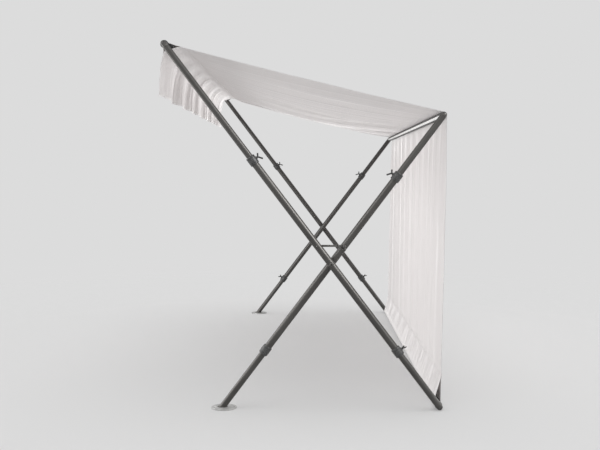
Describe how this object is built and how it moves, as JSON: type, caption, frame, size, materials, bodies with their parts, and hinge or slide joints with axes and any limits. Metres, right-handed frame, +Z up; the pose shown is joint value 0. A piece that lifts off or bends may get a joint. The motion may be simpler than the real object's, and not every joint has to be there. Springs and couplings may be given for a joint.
{
  "type": "exhibition tent",
  "caption": "Open exhibition tent: crossed tube frames that fold like scissors, cross bars, clamped telescoping legs and one long cloth as valance, sloping canopy and rear curtain.",
  "frame": {"origin": "on the floor, under the middle of the whole tent", "axes": "+X from the high open front to the curtained rear, +Y along the tent's bars, +Z up"},
  "size_m": [1.9872, 4.6306, 2.5185],
  "materials": {
    "dark_tube": "satin dark bronze",
    "bright_tube": "polished",
    "black_clamp": "matt black",
    "plate": "satin grey",
    "cloth": "thin off-white weave"
  },
  "bodies": {
    "high_frame": {"canopy": "cloth", "collar_high_base_left": "black_clamp", "collar_high_base_right": "black_clamp", "collar_high_top_left": "black_clamp", "collar_high_top_right": "black_clamp", "front_bar": "dark_tube", "front_bar_clip_left": "black_clamp", "front_bar_clip_right": "black_clamp", "front_valance": "cloth", "ground_bar": "dark_tube", "ground_bar_clip_left": "black_clamp", "ground_bar_clip_right": "black_clamp", "high_leg_base_left": "dark_tube", "high_leg_base_right": "dark_tube", "high_leg_main_left": "dark_tube", "high_leg_main_right": "dark_tube", "high_leg_top_left": "dark_tube", "high_leg_top_right": "dark_tube", "pivot_bolt_left": "dark_tube", "pivot_bolt_right": "dark_tube", "rear_curtain": "cloth", "stay_bolt_left": "dark_tube", "stay_bolt_right": "dark_tube"},
    "foot_frame": {"collar_foot_base_left": "black_clamp", "collar_foot_base_right": "black_clamp", "collar_foot_top_left": "black_clamp", "collar_foot_top_right": "black_clamp", "foot_leg_main_left": "dark_tube", "foot_leg_main_right": "dark_tube", "foot_leg_top_left": "dark_tube", "foot_leg_top_right": "dark_tube", "rear_bar": "bright_tube", "stay_catch": "dark_tube"},
    "stay": {"stay_bar": "dark_tube"},
    "right_foot": {"foot_leg_base_right": "dark_tube", "foot_plate_right": "plate"},
    "left_foot": {"foot_leg_base_left": "dark_tube", "foot_plate_left": "plate"},
    "screw_high_top_right": {"wing_screw_high_top_right": "black_clamp"},
    "screw_high_base_right": {"wing_screw_high_base_right": "black_clamp"},
    "screw_foot_top_right": {"wing_screw_foot_top_right": "black_clamp"},
    "screw_foot_base_right": {"wing_screw_foot_base_right": "black_clamp"},
    "screw_high_top_left": {"wing_screw_high_top_left": "black_clamp"},
    "screw_high_base_left": {"wing_screw_high_base_left": "black_clamp"},
    "screw_foot_top_left": {"wing_screw_foot_top_left": "black_clamp"},
    "screw_foot_base_left": {"wing_screw_foot_base_left": "black_clamp"}
  },
  "joints": [
    {"name": "frame_fold", "type": "hinge", "parent": "high_frame", "child": "foot_frame", "pos_m": [0.19368, 0, 0.99], "axis": [0, -1, 0], "range_deg": [0, 60], "deforming": ["canopy", "rear_curtain"]},
    {"name": "stay_lift", "type": "hinge", "parent": "high_frame", "child": "stay", "pos_m": [0.09997, -2.25, 1.11346], "axis": [0, -1, 0], "range_deg": [0, 60]},
    {"name": "right_foot_slide", "type": "slide", "parent": "foot_frame", "child": "right_foot", "axis": [-0.6046, 0, -0.7965], "range_m": [-0.15, 0.1]},
    {"name": "left_foot_slide", "type": "slide", "parent": "foot_frame", "child": "left_foot", "axis": [-0.6046, 0, -0.7965], "range_m": [-0.15, 0.1]},
    {"name": "turn_high_top_right", "type": "hinge", "parent": "high_frame", "child": "screw_high_top_right", "pos_m": [-0.31248, -2.283, 1.71688], "axis": [0.7965, 0, 0.6046], "range_deg": [0, 360]},
    {"name": "turn_high_base_right", "type": "hinge", "parent": "high_frame", "child": "screw_high_base_right", "pos_m": [0.67302, -2.283, 0.41853], "axis": [0.7965, 0, 0.6046], "range_deg": [0, 360]},
    {"name": "turn_foot_top_right", "type": "hinge", "parent": "foot_frame", "child": "screw_foot_top_right", "pos_m": [0.61519, -2.217, 1.60536], "axis": [-0.7965, 0, 0.6046], "range_deg": [0, 360]},
    {"name": "turn_foot_base_right", "type": "hinge", "parent": "foot_frame", "child": "screw_foot_base_right", "pos_m": [-0.25675, -2.1807, 0.39659], "axis": [0, 1, 0], "range_deg": [0, 360]},
    {"name": "turn_high_top_left", "type": "hinge", "parent": "high_frame", "child": "screw_high_top_left", "pos_m": [-0.31248, 2.283, 1.71688], "axis": [0.7965, 0, 0.6046], "range_deg": [0, 360]},
    {"name": "turn_high_base_left", "type": "hinge", "parent": "high_frame", "child": "screw_high_base_left", "pos_m": [0.67302, 2.283, 0.41853], "axis": [0.7965, 0, 0.6046], "range_deg": [0, 360]},
    {"name": "turn_foot_top_left", "type": "hinge", "parent": "foot_frame", "child": "screw_foot_top_left", "pos_m": [0.61519, 2.217, 1.60536], "axis": [-0.7965, 0, 0.6046], "range_deg": [0, 360]},
    {"name": "turn_foot_base_left", "type": "hinge", "parent": "foot_frame", "child": "screw_foot_base_left", "pos_m": [-0.28566, 2.217, 0.41853], "axis": [-0.7965, 0, 0.6046], "range_deg": [0, 360]}
  ],
  "couplings": [
    {"joint": "stay_lift", "follows": "frame_fold", "ratio": 1}
  ]
}
